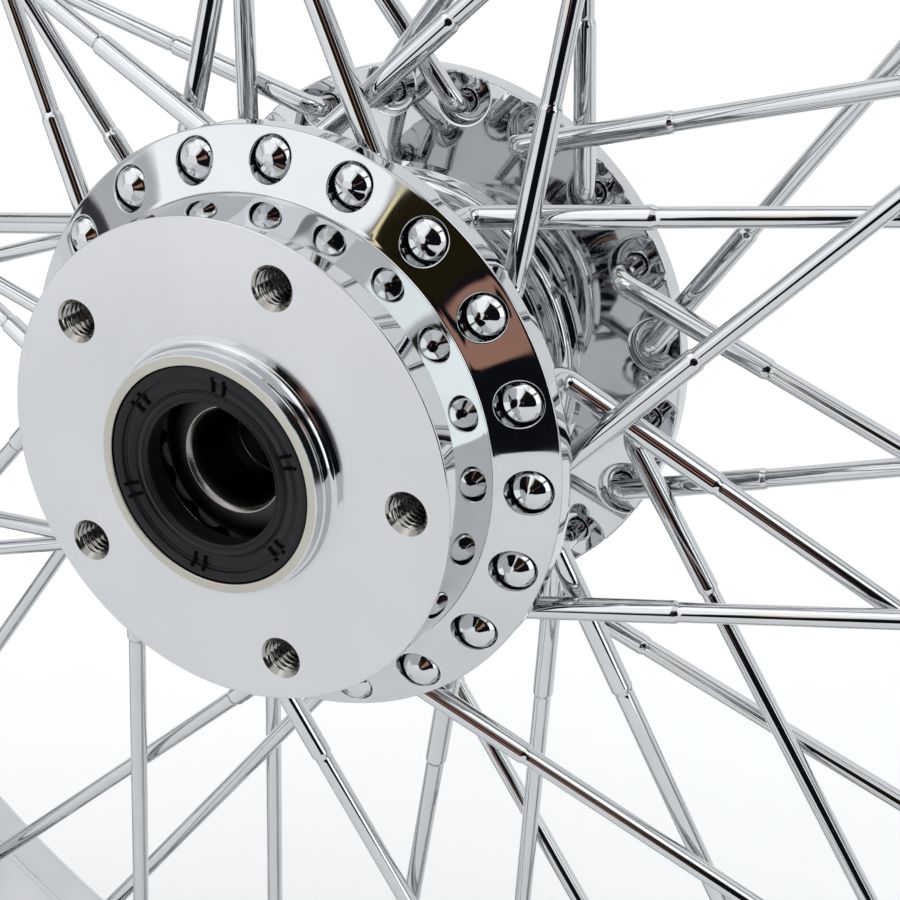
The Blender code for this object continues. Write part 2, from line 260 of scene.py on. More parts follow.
def loft(shell, stations, sides, first_normal, finish=0):
    """Tube through (centre, direction, radius) stations; radius 0 closes it in a point.

    A fourth value is the half width of the square that the section is cut down to.
    """
    rings = []
    normal = first_normal.normalized()
    last = stations[0][1].normalized()
    for station in stations:
        centre, direction, radius = station[:3]
        flat = station[3] if len(station) > 3 else None
        direction = direction.normalized()
        normal = last.rotation_difference(direction) @ normal
        last = direction
        ring = []
        for i in range(sides):
            angle = 2 * math.pi * i / sides
            reach = radius
            if flat:
                reach = min(radius, flat / max(abs(math.cos(angle)), abs(math.sin(angle))))
            ring.append(centre + reach * (Quaternion(direction, angle) @ normal))
        rings.append(shell.ring(ring))
    shell.bridge(rings, finish)
    return rings


# ---- Materials -----------------------------------------------------------------

class Finish:
    """A Principled material and short calls for the nodes that drive it."""

    def __init__(self, name, colour, roughness, metallic=1.0):
        self.material = bpy.data.materials.new(name)
        self.material.use_nodes = True
        self.tree = self.material.node_tree
        self.shader = self.tree.nodes["Principled BSDF"]
        self.shader.inputs["Base Color"].default_value = (*colour, 1)
        self.shader.inputs["Roughness"].default_value = roughness
        self.shader.inputs["Metallic"].default_value = metallic
        self.place = self.node("ShaderNodeTexCoord").outputs["Object"]

    def node(self, kind, **settings):
        made = self.tree.nodes.new(kind)
        for key, value in settings.items():
            setattr(made, key, value)
        return made

    def put(self, target, value):
        if isinstance(value, (int, float)):
            target.default_value = value
        else:
            self.tree.links.new(value, target)

    def math(self, operation, a, b=0.0):
        made = self.node("ShaderNodeMath", operation=operation)
        self.put(made.inputs[0], a)
        self.put(made.inputs[1], b)
        return made.outputs[0]

    def noise(self, scale, detail=3.0, place=None, rough=0.5):
        made = self.node("ShaderNodeTexNoise")
        self.tree.links.new(place or self.place, made.inputs["Vector"])
        made.inputs["Scale"].default_value = scale
        made.inputs["Detail"].default_value = detail
        made.inputs["Roughness"].default_value = rough
        return made.outputs["Fac"]

    def ranged(self, value, low, high, to_low, to_high):
        made = self.node("ShaderNodeMapRange")
        self.put(made.inputs["Value"], value)
        for key, number in (("From Min", low), ("From Max", high), ("To Min", to_low), ("To Max", to_high)):
            made.inputs[key].default_value = number
        return made.outputs["Result"]

    def turned_place(self, along):
        """Place that changes with the radius, a little with y, and hardly around the axle."""
        split = self.node("ShaderNodeSeparateXYZ")
        self.tree.links.new(self.place, split.inputs[0])
        x, y, z = split.outputs
        radius = self.math("SQRT", self.math("ADD", self.math("MULTIPLY", x, x), self.math("MULTIPLY", z, z)))
        made = self.node("ShaderNodeCombineXYZ")
        self.put(made.inputs[0], radius)
        self.put(made.inputs[1], self.math("MULTIPLY", y, along))
        self.put(made.inputs[2], self.math("MULTIPLY", self.math("ARCTAN2", z, x), 0.0006))
        return made.outputs[0]

    def bump(self, height, distance, strength=1.0):
        made = self.node("ShaderNodeBump")
        self.put(made.inputs["Height"], height)
        made.inputs["Distance"].default_value = distance
        made.inputs["Strength"].default_value = strength
        previous = self.shader.inputs["Normal"].links
        if previous:
            self.tree.links.new(previous[0].from_socket, made.inputs["Normal"])
        self.tree.links.new(made.outputs[0], self.shader.inputs["Normal"])

    def roughness(self, value, to_low, to_high, low=0.3, high=0.7):
        self.put(self.shader.inputs["Roughness"], self.ranged(value, low, high, to_low, to_high))

    def shade(self, value, dark, light, low=0.3, high=0.7):
        """Colour from dark to light with a value."""
        made = self.node("ShaderNodeMix", data_type="RGBA")
        self.tree.links.new(self.ranged(value, low, high, 0, 1), made.inputs["Factor"])
        made.inputs["A"].default_value = (*dark, 1)
        made.inputs["B"].default_value = (*light, 1)
        self.tree.links.new(made.outputs["Result"], self.shader.inputs["Base Color"])


CHROME = (0.60, 0.61, 0.625)
CHROME_DULL = (0.56, 0.57, 0.58)


def chrome(name, wave_scale, wave, smudge=0.055):
    """Plated chrome: bright, with the polished steel's faint waviness and light smudges."""
    finish = Finish(name, CHROME, 0.03)
    cloud = finish.noise(90, 5)
    finish.shade(cloud, CHROME_DULL, CHROME)
    finish.roughness(finish.noise(45, 6, rough=0.62), 0.018, smudge)
    finish.bump(finish.noise(wave_scale, 1.5), wave)
    return finish.material


def machined(name, colour, dull, low, high, cut=0.0000022, lines=2600):
    """Turned metal: fine rings round the axle, over slow changes in sheen."""
    finish = Finish(name, colour, low)
    rings = finish.noise(lines, 4, finish.turned_place(1.0), 0.7)
    finish.shade(finish.noise(35, 4), dull, colour)
    finish.roughness(finish.math("ADD", finish.math("MULTIPLY", rings, 0.5),
                                 finish.math("MULTIPLY", finish.noise(60, 4), 0.5)), low, high)
    finish.bump(rings, cut)
    return finish.material


def rubber(name, dark, light, low, high, gloss):
    """Black moulded rubber, slightly oily, with a fine grain."""
    finish = Finish(name, light, low, 0.0)
    finish.shade(finish.noise(150, 5), dark, light)
    finish.roughness(finish.noise(300, 4), low, high)
    finish.shader.inputs["Specular IOR Level"].default_value = gloss
    finish.bump(finish.noise(4200, 3), 0.000006)
    return finish.material


def paper(name, colour):
    """Studio floor: pale matte board with the faintest mottling."""
    finish = Finish(name, colour, 0.85, 0.0)
    finish.shade(finish.noise(9, 5), tuple(c * 0.985 for c in colour), colour)
    finish.bump(finish.noise(900, 3), 0.00002)
    return finish.material


MATERIALS = {
    "hub": chrome("hub_polished_chrome", 22, 0.00006),
    "face": machined("hub_machined_face", (0.615, 0.62, 0.64), (0.575, 0.58, 0.60), 0.12, 0.20, 0.0000014),
    "end": machined("hub_boss_end", (0.51, 0.495, 0.445), (0.44, 0.425, 0.38), 0.22, 0.34),
    "bore": machined("hub_bored_steel", (0.42, 0.41, 0.39), (0.34, 0.33, 0.31), 0.25, 0.40),
    "thread": machined("hub_cut_thread", (0.40, 0.385, 0.37), (0.28, 0.265, 0.25), 0.10, 0.22),
    "spoke": chrome("spoke_chrome_wire", 120, 0.000018, 0.07),
    "nipple": chrome("nipple_chrome", 160, 0.00001, 0.10),
    "rim": chrome("rim_polished_chrome", 30, 0.00005),
    "rubber": rubber("seal_black_rubber", (0.005, 0.005, 0.006), (0.011, 0.011, 0.013), 0.26, 0.40, 0.2),
    # Near-black matte rubber on the seal's ticks: painted shade, standing in for the dark of grooves.
    "groove": rubber("seal_tick_painted_shade", (0.0015, 0.0015, 0.002), (0.003, 0.003, 0.0035), 0.6, 0.8, 0.03),
    "race": machined("bearing_ground_steel", (0.36, 0.345, 0.33), (0.27, 0.255, 0.24), 0.18, 0.32),
    # Near-black steel: painted shade for the dark inside the bearing, put on the cone's back face and bore.
    "bearing_painted_shade": machined("bearing_face_painted_shade", (0.055, 0.052, 0.048), (0.035, 0.033, 0.03), 0.25, 0.45),
    # Rollers much darker than bright steel: painted shade for the dark inside the bearing.
    "roller": machined("roller_steel_painted_shade", (0.15, 0.144, 0.135), (0.09, 0.086, 0.08), 0.14, 0.28),
    "cage": machined("cage_pressed_steel", (0.16, 0.155, 0.145), (0.10, 0.095, 0.09), 0.28, 0.42),
    "sleeve": machined("sleeve_turned_steel", (0.22, 0.21, 0.20), (0.13, 0.125, 0.12), 0.30, 0.50),
}


# ---- Hub ----------------------------------------------------------------------

def cone_level(radius):
    """Height of the flange's outer, coned face."""
    return LAND_OUT + (FLANGE_R - radius) * (CONE_TOP - LAND_OUT) / (FLANGE_R - DRUM_R)


def root_level(radius):
    """Height of the flange's inner face, before its recesses."""
    return FLANGE_ROOT + (radius - FLANGE_ROOT_R) * (LAND_IN - FLANGE_ROOT) / (FLANGE_R - FLANGE_ROOT_R)


def recessed_level(x, z):
    """Height of the flange's inner face, with the recess of the hole at angle 0."""
    past = np.hypot(x - RECESS_AT_R, z) - RECESS_R
    share = np.clip((past + 0.1) / 0.4, 0, 1)
    share = share * share * (3 - 2 * share)
    base = root_level(np.hypot(x, z))
    return np.where(RECESS_FLOOR > base, RECESS_FLOOR + (base - RECESS_FLOOR) * share, base)


def patch_border(inner_r, outer_r):
    """Border of one spoke hole's share of the flange: x and z, anticlockwise from its outer arc."""
    half = FLANGE_PITCH / 2
    along = np.linspace(-half, half, AROUND + 1)
    down = np.linspace(outer_r, inner_r, SIDE_STEPS + 1)
    radii = np.concatenate([np.full(AROUND, outer_r), down[:-1], np.full(AROUND, inner_r), down[::-1][:-1]])
    angles = np.concatenate([along[:-1], np.full(SIDE_STEPS, half), along[::-1][:-1],
                             np.full(SIDE_STEPS, -half)])
    turn = np.radians(angles)
    return radii * np.cos(turn), radii * np.sin(turn)


CONE_BORDER = (51.5, 62.55)     # inner and outer radius of the patches of the outer face
ROOT_BORDER = (43.9, 62.6)      # and of the inner face
HUB_FINISHES = ("hub", "face", "end", "bore", "thread")


def hole_angles():
    x, z = patch_border(*CONE_BORDER)
    return np.arctan2(z, x - SPOKE_CIRCLE_R)


def circle(radius, angles, centre=SPOKE_CIRCLE_R):
    return centre + radius * np.cos(angles), radius * np.sin(angles)


def head_hole_rings():
    """Rings of the outer face's patch: the spoke hole, the head's seat, its wall and lip."""
    angles = hole_angles()
    level = np.ones_like(angles)
    rings = []
    for radius, y in ((SPOKE_HOLE_R, HEAD_FLOOR), (HEAD_HOLE_R - 0.5, HEAD_FLOOR),
                      (HEAD_HOLE_R - 0.12, HEAD_FLOOR + 0.12), (HEAD_HOLE_R, HEAD_FLOOR + 0.5)):
        x, z = circle(radius, angles)
        rings.append((x, z, y * level))
    lip_steps = 5
    lip = [[] for _ in range(lip_steps + 2)]
    slope = (CONE_TOP - LAND_OUT) / (FLANGE_R - DRUM_R)
    for angle in angles:
        x, z = circle(HEAD_HOLE_R, angle)
        top = cone_level(math.hypot(x, z))
        rise = -slope * math.cos(angle)
        radius = 0.26 - 0.1 * abs(math.cos(angle)) ** 3
        leg = radius / math.tan((math.pi / 2 + math.atan(rise)) / 2)
        outward = Vector((1, rise)).normalized()
        corner = Vector((HEAD_HOLE_R, top))
        section = [(HEAD_HOLE_R, top - leg - 0.15)]
        section += arc(corner - Vector((0, leg)), corner, corner + outward * leg, lip_steps)
        for row, (reach, y) in zip(lip, section):
            x, z = circle(reach, angle)
            row.append((x, z, y))
    rings += [tuple(np.array(row).T) for row in lip]
    edge_x, edge_z = rings[-1][0], rings[-1][1]
    border_x, border_z = patch_border(*CONE_BORDER)
    for share in (0.04, 0.11, 0.2, 0.32, 0.46, 0.64, 0.82, 1.0):
        x = edge_x + (border_x - edge_x) * share
        z = edge_z + (border_z - edge_z) * share
        rings.append((x, z, cone_level(np.hypot(x, z))))
    dished = []
    for x, z, y in rings[4:]:
        past = np.maximum(np.hypot(x - SPOKE_CIRCLE_R, z) - HEAD_HOLE_R, 0)
        held = np.clip(np.hypot(border_x - x, border_z - z) / DISH_EDGE, 0, 1)
        dished.append((x, z, y - DISH_DEPTH * np.exp(-past / DISH_REACH) * held))
    return rings[:4] + dished


def recess_rings():
    """Rings of the inner face's patch: the spoke hole's mouth, the recess and the face."""
    angles = hole_angles()
    level = np.ones_like(angles)
    rings = []
    for radius, y in ((SPOKE_HOLE_R, HEAD_FLOOR), (SPOKE_HOLE_R, RECESS_FLOOR + 0.5),
                      (SPOKE_HOLE_R + 0.12, RECESS_FLOOR + 0.15), (SPOKE_HOLE_R + 0.45, RECESS_FLOOR),
                      (SPOKE_HOLE_R + 0.8, RECESS_FLOOR)):
        x, z = circle(radius, angles)
        rings.append((x, z, y * level))
    outer = ROOT_BORDER[1]
    recess = ((RECESS_R - 0.7, None, 0), (RECESS_R - 0.35, None, -0.08), (RECESS_R - 0.1, None, -0.35),
              (RECESS_R, 0.25, 0), (RECESS_R + 0.1, 0.08, 0),
              (RECESS_R + 0.3, 0.0, 0), (RECESS_R + 0.7, 0.0, 0))
    for radius, over_face, under_floor in recess:
        x, z = circle(radius, angles, RECESS_AT_R)
        reach = np.hypot(x, z)
        clamp = np.minimum(1.0, outer / reach)
        x, z = x * clamp, z * clamp
        if over_face is None:
            y = RECESS_FLOOR + under_floor * level
            y = np.maximum(y, np.minimum(RECESS_FLOOR, root_level(np.hypot(x, z))))
        else:
            y = np.minimum(root_level(np.hypot(x, z)) + over_face, RECESS_FLOOR)
        rings.append((x, z, np.where(clamp < 1, recessed_level(x, z), y)))
    edge_x, edge_z = rings[-1][0], rings[-1][1]
    border_x, border_z = patch_border(*ROOT_BORDER)
    for share in (0.12, 0.45, 0.8, 1.0):
        x = edge_x + (border_x - edge_x) * share
        z = edge_z + (border_z - edge_z) * share
        clamp = np.minimum(1.0, outer / np.hypot(x, z))
        x, z = x * clamp, z * clamp
        rings.append((x, z, recessed_level(x, z)))
    return rings


def add_patches(shell, side, rings):
    for hole in range(SPOKES_PER_FLANGE):
        turn = math.radians(FIRST_HOLE[side] + hole * FLANGE_PITCH)
        cos, sin = math.cos(turn), math.sin(turn)
        made = [shell.ring([(x * cos - z * sin, side * y, x * sin + z * cos) for x, z, y in zip(*ring)])
                for ring in rings]
        shell.bridge(made)


def add_land(shell, side):
    """The flange's rim, whose inner edge dips where the recesses break through it."""
    count = AROUND * SPOKES_PER_FLANGE
    half = FLANGE_PITCH / 2
    phase = FIRST_HOLE[side] - half
    rows = [[] for _ in range(6)]
    outer, cone_edge = ROOT_BORDER[1], CONE_BORDER[1]
    band = 32.0
    for i in range(count):
        local = (i % AROUND) * FLANGE_PITCH / AROUND - half
        x, z = outer * math.cos(math.radians(local)), outer * math.sin(math.radians(local))
        start = float(recessed_level(np.array(x), np.array(z)))
        section = [(outer, start), (outer + 0.26, start + 0.12), (outer + 0.44, start + 0.34),
                   (FLANGE_R, start + 0.75), (FLANGE_R, band - 1.4), (FLANGE_R, band)]
        for row, (r, y) in zip(rows, section):
            row.append(polar(r, phase + i * FLANGE_PITCH / AROUND, side * y))
    shell.bridge([shell.ring(row) for row in rows])
    lip = rounded([(FLANGE_R, band, 0), (FLANGE_R, LAND_OUT, 0.42), (cone_edge, cone_level(cone_edge), 0)])
    shell.turn(lip, count, phase, side)


def thread_radius(depth, turn):
    """Radius of the cut thread at a depth, a turn (in radians) round the hole."""
    phase = (depth / THREAD_PITCH + turn / (2 * math.pi)) % 1.0
    groove = min(1.0, max(0.0, abs(2 * phase - 1) * 1.5 - 0.25))
    mouth = THREAD_MOUTH_R - 0.9 * depth
    return max(THREAD_MINOR + (THREAD_MAJOR - THREAD_MINOR) * groove, mouth)


def add_threads(shell, side):
    """The tapped holes: a chamfered mouth, a cut thread and a drilled point."""
    sides, per_turn = 36, 8
    finish = HUB_FINISHES.index("thread")
    turns = np.linspace(0, 2 * np.pi, sides, endpoint=False)
    steps = int(THREAD_DEPTH / THREAD_PITCH * per_turn)
    rows = [(0.0, [THREAD_MOUTH_R] * sides)]
    for step in range(steps + 1):
        depth = 0.25 + step * THREAD_PITCH / per_turn
        rows.append((depth, [thread_radius(depth, turn) for turn in turns]))
    for past, radius in ((0.6, THREAD_MINOR), (1.0, THREAD_MINOR - 0.1), (3.0, 0.3)):
        rows.append((THREAD_DEPTH + past, [radius] * sides))
    for bolt in range(BOLTS):
        at = polar(BOLT_CIRCLE_R, FIRST_BOLT + bolt * 360 / BOLTS, 0)
        rings = [shell.ring([at + polar(radius, math.degrees(turn), side * (FACE_AT - depth))
                             for radius, turn in zip(radii, turns)]) for depth, radii in rows]
        shell.bridge(rings, finish)
        shell.cap(rings[-1], finish)


def make_hub():
    shell = Shell()
    count = AROUND * SPOKES_PER_FLANGE
    cone_start = CONE_BORDER[0]
    barrel = rounded([(BARREL_R, 0, 0), (BARREL_R, 9.0, 10.0), (35.6, 12.6, 3.0), (36.0, 17.6, 2.4),
                      (34.8, 18.3, 0.6), (41.0, 18.2, 2.6), (41.2, 23.6, 2.4), (40.4, 24.3, 0.5),
                      (42.2, 24.77, 0.4), (ROOT_BORDER[0], root_level(ROOT_BORDER[0]), 0)], steps=7)
    head_rings, root_rings = head_hole_rings(), recess_rings()
    for side, _ in SIDES:
        phase = FIRST_HOLE[side] - FLANGE_PITCH / 2
        shell.turn(barrel, count, phase, side)
        add_patches(shell, side, head_rings)
        add_patches(shell, side, root_rings)
        add_land(shell, side)
        drum = rounded([(cone_start, cone_level(cone_start), 0), (DRUM_R + 0.15, cone_level(50.9), 0.45),
                        (DRUM_R - 0.1, FACE_AT, 0.45), (FACE_OUT_R, FACE_AT, 0)])
        shell.turn(drum, count, phase, side)
        boss = rounded([(FACE_IN_R, FACE_AT, 0), (PILOT_R, FACE_AT + 0.02, 1.3), (PILOT_R, PILOT_END, 0.07),
                        (BOSS_R + 0.32, PILOT_END + 0.08, 0.05), (BOSS_R + 0.2, BOSS_AT, 0.25),
                        (BOSS_R - 0.1, BOSS_AT, 0)])
        shell.turn(boss, count, phase, side)
        end = rounded([(BOSS_R - 0.1, BOSS_AT, 0), (BORE_R, BOSS_AT, 0.22), (BORE_R, BOSS_AT - 1.0, 0)])
        shell.turn(end, count, phase, side, finish=HUB_FINISHES.index("end"))
        bore = rounded([(BORE_R, BOSS_AT - 1.0, 0), (BORE_R, SHOULDER_AT, 0.4),
                        (SHOULDER_R, SHOULDER_AT, 0.6), (SHOULDER_R, 0, 0)])
        shell.turn(bore, count, phase, side, finish=HUB_FINISHES.index("bore"))
        add_threads(shell, side)
    hub = shell.piece("hub_body", [MATERIALS[k] for k in HUB_FINISHES],
                      fill_levels=(-FACE_AT, FACE_AT), fill_finish=HUB_FINISHES.index("face"))
    show(hub, "wheel", "hub_chrome", "hub")


# ---- Spokes and nipples -----------------------------------------------------------

def spoke_line(side, kind):
    """Elbow corner and rim seat of the spoke from the flange hole at angle 0."""
    corner = polar(SPOKE_CIRCLE_R, 0.0, side * HUB_LEVEL[kind])
    seat = polar(WELL_R, SWEEP[kind], RIM_OFFSET + side * RIM_LEVEL[kind])
    return corner, seat


def add_wire(shell, side, kind):
    """A headed, butted spoke, from its head to the end inside the nipple."""
    corner, seat = spoke_line(side, kind)
    inward = Vector((0, -side, 0))
    along = (seat - corner).normalized()
    bend = inward.angle(along)
    setback = ELBOW_R * math.tan(bend / 2)
    axis = inward.cross(along).normalized()
    centre = corner - inward * setback + axis.cross(inward) * ELBOW_R
    under = Vector((SPOKE_CIRCLE_R, side * HEAD_SEAT, 0))
    head = rounded([(0.02, HEAD_HEIGHT, 0), (1.4, HEAD_HEIGHT - 0.28, 1.6), (3.5, HEAD_HEIGHT - 1.25, 1.0),
                    (HEAD_R, HEAD_HEIGHT - 2.2, 0.6), (HEAD_R, 0.12, 0.3), (HEAD_R - 0.25, 0, 0.1),
                    (THICK_R + 0.25, 0, 0), (THICK_R, -0.3, 0)], steps=4)
    stations = [(under - inward * height, inward, radius) for radius, height in head]
    bend_steps = 12
    for i in range(bend_steps + 1):
        swing = Quaternion(axis, bend * i / bend_steps)
        stations.append((centre + swing @ (-axis.cross(inward) * ELBOW_R), swing @ inward, THICK_R))
    swage = corner + along * SWAGE_AT
    for step, radius in ((-0.5, THICK_R), (-0.1, THICK_R), (0.08, THICK_R - 0.04), (0.75, THIN_R + 0.04),
                         (0.92, THIN_R - 0.03), (1.15, THIN_R - 0.02), (1.35, THIN_R), (2.0, THIN_R)):
        stations.append((swage + along * step, along, radius))
    for reach in (NIPPLE_REACH + 4, NIPPLE_REACH - 8):
        stations.append((seat - along * reach, along, THIN_R))
    stations.append((seat - along * (NIPPLE_REACH - 8.4), along, THIN_R - 0.4))
    rings = loft(shell, stations, 28, Vector((1, 0, 0)))
    shell.cap(rings[0])
    shell.cap(rings[-1])


def add_nipple(shell, side, kind):
    """Hollow nipple: a square drive, a round shank and a domed head in the rim's well."""
    corner, seat = spoke_line(side, kind)
    along = (seat - corner).normalized()
    bore_r = NIPPLE_BORE_R
    tip = -NIPPLE_REACH
    square_end = tip + NIPPLE_SQUARE
    profile = [
        (bore_r, 0.6, None), (bore_r, tip + 0.5, None), (bore_r + 0.15, tip + 0.08, None),
        (bore_r + 0.3, tip, None), (NIPPLE_FLAT - 0.12, tip, None), (NIPPLE_FLAT, tip + 0.15, None),
        (NIPPLE_R, tip + 0.7, NIPPLE_FLAT), (NIPPLE_R, tip + 0.9, NIPPLE_FLAT),
        (NIPPLE_R, square_end - 0.3, NIPPLE_FLAT), (NIPPLE_R, square_end, NIPPLE_FLAT + 0.06),
        (NIPPLE_R, square_end + 0.5, None), (NIPPLE_R, square_end + 0.8, None), (NIPPLE_R, -0.3, None),
        (NIPPLE_R, 0.1, None), (NIPPLE_R + 0.25, 0.5, None), (NIPPLE_HEAD_R - 0.2, 1.7, None),
        (NIPPLE_HEAD_R, 2.1, None), (NIPPLE_HEAD_R, 2.5, None), (NIPPLE_HEAD_R - 0.5, 3.0, None),
        (NIPPLE_HEAD_R - 1.6, 3.45, None), (bore_r + 0.3, 3.6, None), (bore_r, 3.3, None),
    ]
    stations = [(seat + along * reach, along, radius, flat) for radius, reach, flat in profile]
    rings = loft(shell, stations, 32, Vector((0, 1, 0)), finish=1)
    shell.bridge([rings[-1], rings[0]], 1)


def make_spokes():
    number = 1
    for side, word in SIDES:
        meshes = {}
        for kind in ("inner", "outer"):
            shell = Shell()
            add_wire(shell, side, kind)
            add_nipple(shell, side, kind)
            made = shell.piece(f"spoke_{kind}_{word}", [MATERIALS["spoke"], MATERIALS["nipple"]])
            meshes[kind] = made.data
            bpy.data.objects.remove(made)
        for hole in range(SPOKES_PER_FLANGE):
            kind = "inner" if hole % 2 == 0 else "outer"
            piece = bpy.data.objects.new(f"wire_{number:02d}", meshes[kind])
            bpy.context.scene.collection.objects.link(piece)
            piece.rotation_euler = (0, -math.radians(FIRST_HOLE[side] + hole * FLANGE_PITCH), 0)
            show(piece, "wheel", "spoke_chrome", f"spoke_{number:02d}")
            number += 1


# ---- Rim --------------------------------------------------------------------------

def rim_outline():
    """Drop-centre section with rolled lips and safety humps, of even wall."""
    seat, inside = BEAD_SEAT_R, RIM_INSIDE_HALF
    tyre_side = [(WELL_R, WELL_HALF, 4), (seat - 1.6, inside - 14.5, 4), (seat + 0.4, inside - 13.0, 1.5),
                 (seat - 0.9, inside - 11.0, 2), (seat, inside - 0.6, 4),
                 (LIP_R - 2.1, inside + 0.6, 2.2), (LIP_R + 0.4, inside + 3.2, 2.2)]
    hub_side = [(LIP_R - 1.2, inside + 6.1, 1.8), (LIP_R - 4.2, inside + 5.9, 1.0),
                (LIP_R - 4.4, inside + 4.3, 0.5), (LIP_R - 3.4, inside + 3.2, 1.0),
                (seat - 1.6, inside + 1.9, 4.5), (seat - RIM_WALL - 1.0, inside - 12.2, 4),
                (WELL_R - RIM_WALL, WELL_HALF - 0.8, 5)]
    far_half = tyre_side + hub_side
    near_half = [(r, -y, fillet) for r, y, fillet in reversed(far_half)]
    return [(r, y + RIM_OFFSET) for r, y in rounded(far_half + near_half, closed=True, steps=6)]


def nipple_seats():
    """Every nipple's seat and direction, in place around the rim."""
    for side, _ in SIDES:
        for hole in range(SPOKES_PER_FLANGE):
            corner, seat = spoke_line(side, "inner" if hole % 2 == 0 else "outer")
            turn = Matrix.Rotation(-math.radians(FIRST_HOLE[side] + hole * FLANGE_PITCH), 3, "Y")
            yield turn @ seat, turn @ (seat - corner).normalized()


def dimpled(points, centres):
    """Rim points, pressed inwards round each nipple's seat."""
    depth, flat_r, spread, well_reach = 1.7, 3.0, 5.2, 6.0
    points = np.array(points)
    radii = np.hypot(points[:, 0], points[:, 2])
    well = radii < WELL_R + well_reach
    gap = np.linalg.norm(points[well][:, None, :] - centres[None], axis=2).min(axis=1)
    sink = depth * np.exp(-(np.maximum(gap - flat_r, 0) / spread) ** 2)
    inward = 1 - sink / radii[well]
    moved = points[well]
    moved[:, 0] *= inward
    moved[:, 2] *= inward
    points[well] = moved
    return [Vector(point) for point in points]


def add_drill(shell, foot, along, length, radius, sides):
    ends = [(foot, along, radius), (foot + along * length, along, radius)]
    rings = loft(shell, ends, sides, Vector((0, 1, 0)))
    shell.cap(rings[0])
    shell.cap(rings[-1])


def make_rim():
    shell = Shell()
    segments, longest_edge = 540, 2.6
    shell.turn(filled_in(rim_outline(), longest_edge), segments, FIRST_HOLE[NEAR], closed=True)
    seats = list(nipple_seats())
    shell.points = dimpled(shell.points, np.array([seat for seat, _ in seats]))
    rim = shell.piece("rim_body", [MATERIALS["rim"]])
    drills = Shell()
    for seat, along in seats:
        add_drill(drills, seat - along * 8, along, 13, NIPPLE_HOLE_R, 20)
    out = polar(1.0, VALVE_ANGLE, 0)
    add_drill(drills, polar(WELL_R - 10, VALVE_ANGLE, RIM_OFFSET), out, 18, VALVE_HOLE_R, 28)
    drill = drills.piece("rim_drills", [MATERIALS["rim"]])
    boolean = rim.modifiers.new("drill", "BOOLEAN")
    boolean.operation = "DIFFERENCE"
    boolean.solver = "EXACT"
    boolean.object = drill
    drilled = bpy.data.meshes.new_from_object(rim.evaluated_get(bpy.context.evaluated_depsgraph_get()))
    rim.modifiers.clear()
    rim.data = drilled
    bpy.data.objects.remove(drill)
    drilled.set_sharp_from_angle(angle=math.radians(38))
    show(rim, "wheel", "rim_chrome", "rim")


# ---- Bearings, seals and sleeve -------------------------------------------------------

def add_tick(shell, angle, side, low_r, high_r, level):
    """A short raised rib on the seal's face, along a radius, in the near-black painted shade finish."""
    out = polar(1, angle, 0)
    across = Vector((-out.z, 0, out.x))
    up = Vector((0, side, 0))
    rings = []
    for inset, height in ((0.0, -0.6), (0.0, 0.34), (0.06, 0.44), (0.14, 0.46)):
        half, near_r, far_r = TICK_HALF - inset, low_r + inset, high_r - inset
        ring = [out * r + across * w + up * (level + height)
                for r, w in ((near_r, -half), (far_r, -half), (far_r, half), (near_r, half))]
        rings.append(shell.ring(ring))
    shell.bridge(rings, 1)
    shell.cap(rings[0], 1)
    shell.cap(rings[-1], 1)


def make_seal(side, word):
    shell = Shell()
    back = SEAL_AT - SEAL_WIDTH
    lip = SEAL_LIP_R
    outline = rounded([
        (SEAL_R, back, 0.3), (SEAL_R, SEAL_AT, 0.5), (SEAL_R - 1.1, SEAL_AT - 0.02, 0.25),
        (20.5, SEAL_AT - 0.12, 0.15), (20.35, SEAL_AT - 0.75, 0.15), (19.9, SEAL_AT - 0.8, 0.15),
        (19.0, SEAL_AT - 0.62, 0.3), (lip + 2.9, SEAL_AT - 0.85, 0.4), (lip + 2.5, SEAL_AT - 1.25, 0.2),
        (lip + 2.1, SEAL_AT - 0.75, 0.2), (lip + 1.2, SEAL_AT - 0.55, 0.4), (lip + 0.9, SEAL_AT - 0.95, 0.15),
        (lip + 0.55, SEAL_AT - 0.6, 0.3), (lip, SEAL_AT - 1.1, 0.4), (lip + 0.25, SEAL_AT - 2.6, 0.3),
        (lip + 0.6, SEAL_AT - 3.4, 0.4), (lip + 0.5, SEAL_AT - 6.0, 0.5), (lip + 2.2, back, 0.3)],
        closed=True, steps=4)
    shell.turn(outline, 200, 0, side, closed=True)
    for pair in range(SEAL_TICKS):
        for lean in (-3.6, 3.6):
            angle = FIRST_TICK + pair * 360 / SEAL_TICKS + lean
            add_tick(shell, angle, side, 18.0, 20.1, SEAL_AT - 0.72)
            add_tick(shell, angle, side, 20.45, 21.2, SEAL_AT - 0.22)
    seal = shell.piece(f"oil_seal_{word}", [MATERIALS["rubber"], MATERIALS["groove"]], sharp=50)
    show(seal, "wheel", "seal_rubber", f"seal_{word}")


def race_radius(y, low_y, high_y, low_r, high_r):
    return low_r + (high_r - low_r) * (y - low_y) / (high_y - low_y)


